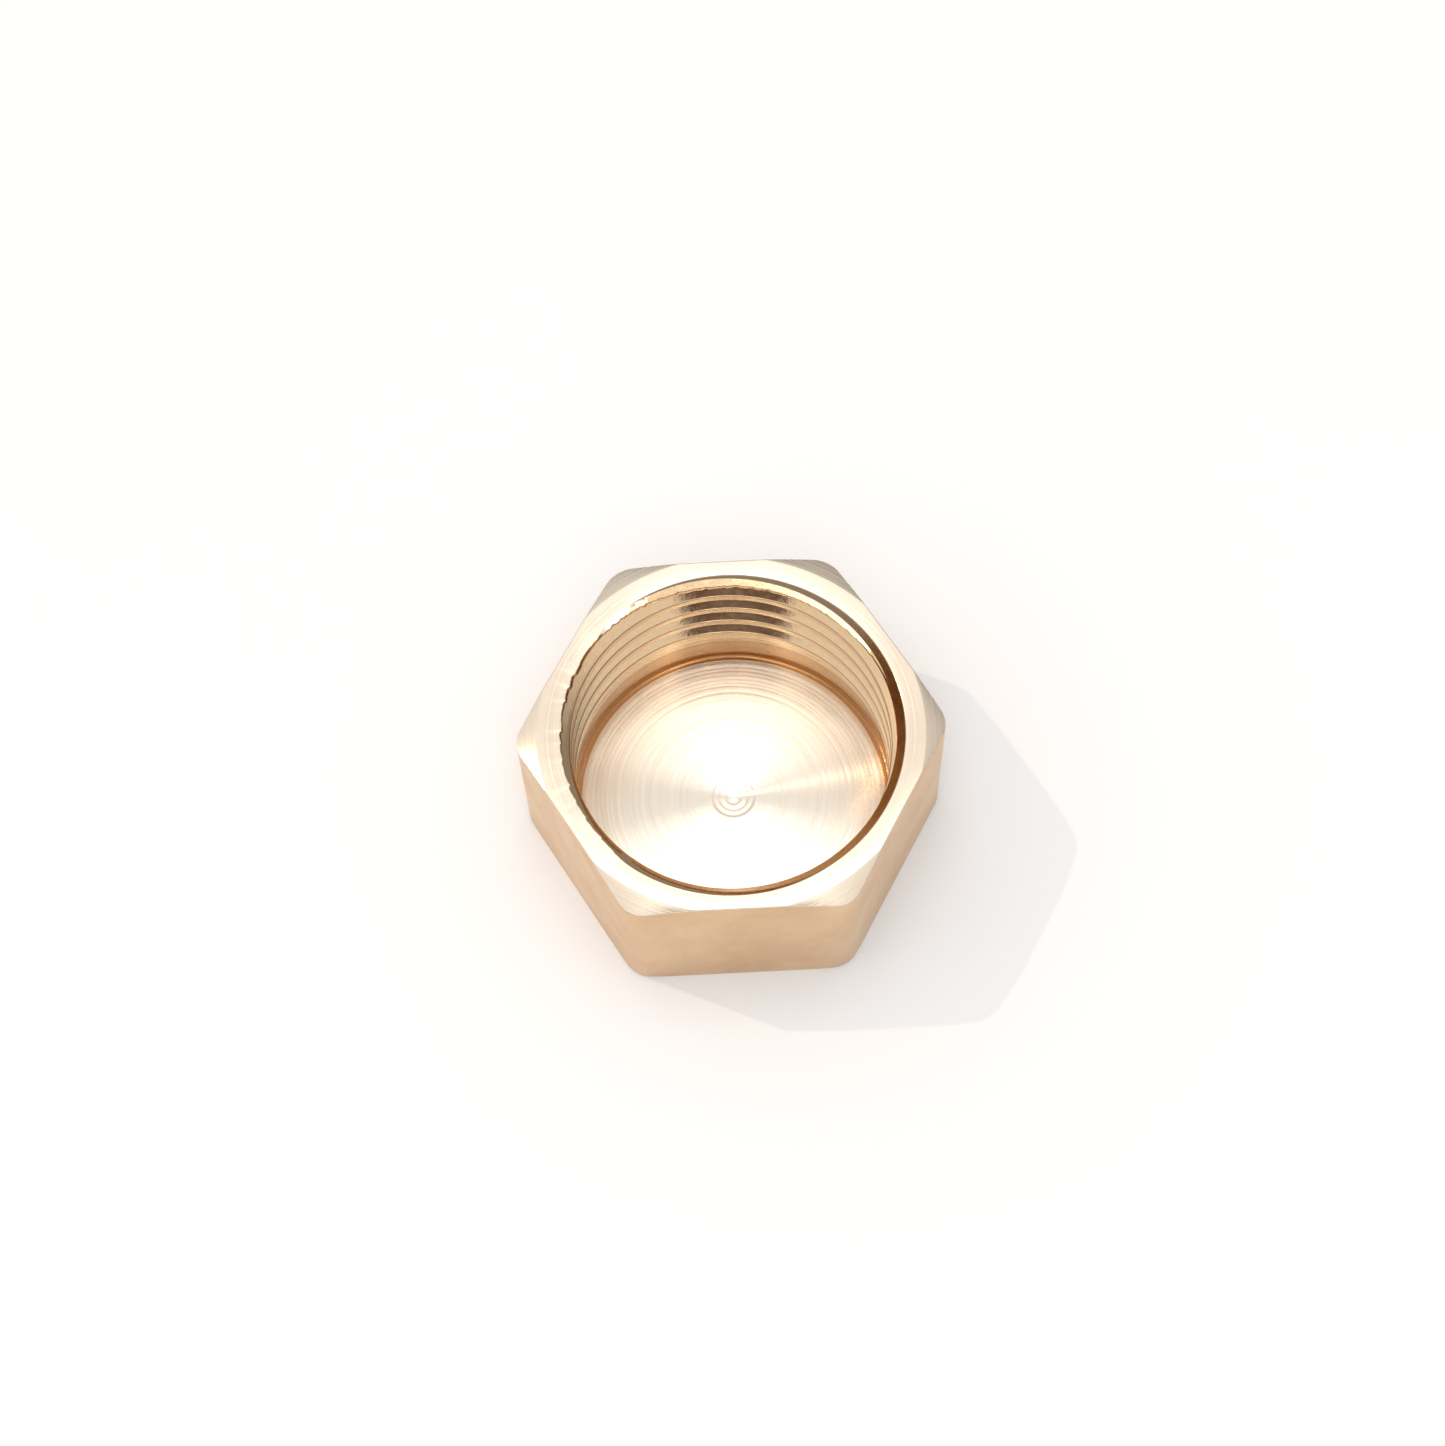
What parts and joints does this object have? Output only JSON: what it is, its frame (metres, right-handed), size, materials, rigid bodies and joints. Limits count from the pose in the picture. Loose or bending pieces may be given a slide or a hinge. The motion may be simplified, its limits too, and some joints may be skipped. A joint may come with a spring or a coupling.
{
  "type": "pipe cap",
  "caption": "Hexagon brass pipe cap: a blind nut with an internal right-hand parallel pipe thread, chamfered mouth and flat closed end.",
  "frame": {"origin": "centre of the closed end's flat face", "axes": "+Z along the thread axis, out of the open mouth; +Y and -Y point at two opposite flats of the hexagon"},
  "size_m": [0.0204, 0.018, 0.0088],
  "materials": {
    "brass": "bright turned inside and on the end faces, satin drawn-bar finish on the six flats"
  },
  "bodies": {
    "root": {"cap_body": "brass"}
  },
  "joints": []
}
